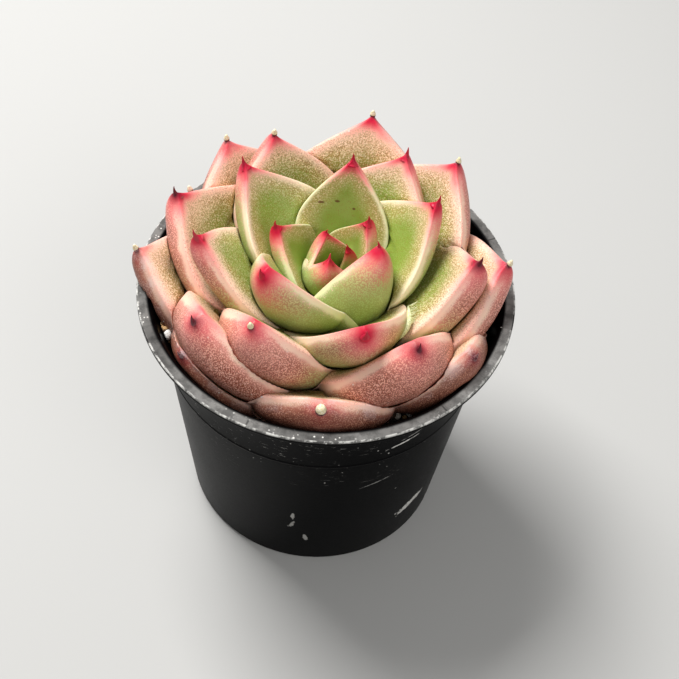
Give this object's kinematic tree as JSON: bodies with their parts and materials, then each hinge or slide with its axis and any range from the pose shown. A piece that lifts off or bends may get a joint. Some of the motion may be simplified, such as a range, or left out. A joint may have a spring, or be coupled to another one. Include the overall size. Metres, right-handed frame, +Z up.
{
  "type": "potted echeveria",
  "caption": "Rosette succulent with thick pointed leaves on a short stem, in a plain round black nursery pot filled with soil.",
  "frame": {"origin": "middle of the pot's flat base, on the surface it stands on", "axes": "+Z up, +X to the right and -Y towards the viewer of the picture"},
  "size_m": [0.0806, 0.08, 0.0869],
  "materials": {
    "leaf": "satin, green with rose margins and underside",
    "stem": "matt",
    "soil": "rough, dark, with pale grains",
    "pot": "semi-gloss black with light scuffs"
  },
  "bodies": {
    "root": {"leaf_01": "leaf", "leaf_02": "leaf", "leaf_03": "leaf", "leaf_04": "leaf", "leaf_05": "leaf", "leaf_06": "leaf", "leaf_07": "leaf", "leaf_08": "leaf", "leaf_09": "leaf", "leaf_10": "leaf", "leaf_11": "leaf", "leaf_12": "leaf", "leaf_13": "leaf", "leaf_14": "leaf", "leaf_15": "leaf", "leaf_16": "leaf", "leaf_17": "leaf", "leaf_18": "leaf", "leaf_19": "leaf", "leaf_20": "leaf", "leaf_21": "leaf", "leaf_22": "leaf", "leaf_23": "leaf", "leaf_24": "leaf", "leaf_25": "leaf", "leaf_26": "leaf", "leaf_27": "leaf", "leaf_28": "leaf", "leaf_29": "leaf", "leaf_30": "leaf", "leaf_31": "leaf", "leaf_32": "leaf", "stem": "stem", "soil": "soil", "pot": "pot"}
  },
  "joints": []
}
